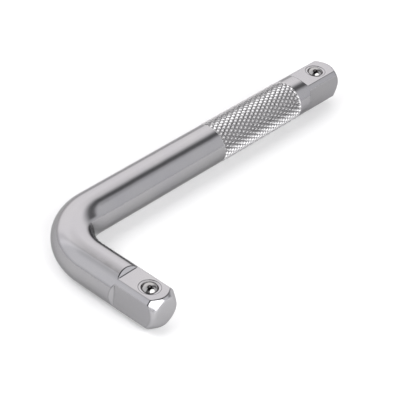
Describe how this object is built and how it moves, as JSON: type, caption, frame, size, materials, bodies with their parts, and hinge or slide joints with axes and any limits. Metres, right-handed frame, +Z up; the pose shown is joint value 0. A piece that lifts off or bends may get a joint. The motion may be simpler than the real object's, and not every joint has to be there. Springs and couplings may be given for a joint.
{
  "type": "l-handle wrench",
  "caption": "Bent steel bar handle with a square drive and sprung detent ball at each end and a knurled grip band on its long arm.",
  "frame": {"origin": "under the middle of the handle's outline, on the surface it lies on", "axes": "+X along the long arm towards its square drive, -Y along the short arm towards its square drive, +Z up, out of the flats that carry the balls"},
  "size_m": [0.1644, 0.0636, 0.016],
  "materials": {
    "plated_bar": "satin chrome plating on forged steel",
    "ball_steel": "polished bearing steel",
    "spring_steel": "drawn spring wire"
  },
  "bodies": {
    "bar": {"handle_bar": "plated_bar", "long_drive_spring": "spring_steel", "short_drive_spring": "spring_steel"},
    "long_ball": {"long_drive_ball": "ball_steel"},
    "short_ball": {"short_drive_ball": "ball_steel"}
  },
  "joints": [
    {"name": "long_ball_press", "type": "slide", "parent": "bar", "child": "long_ball", "axis": [0, 0, -1], "range_m": [0, 0.0015], "stiffness_N_per_m": 2000, "springref_m": -0.003, "deforming": ["long_drive_spring"]},
    {"name": "short_ball_press", "type": "slide", "parent": "bar", "child": "short_ball", "axis": [0, 0, -1], "range_m": [0, 0.0015], "stiffness_N_per_m": 2000, "springref_m": -0.003, "deforming": ["short_drive_spring"]}
  ]
}
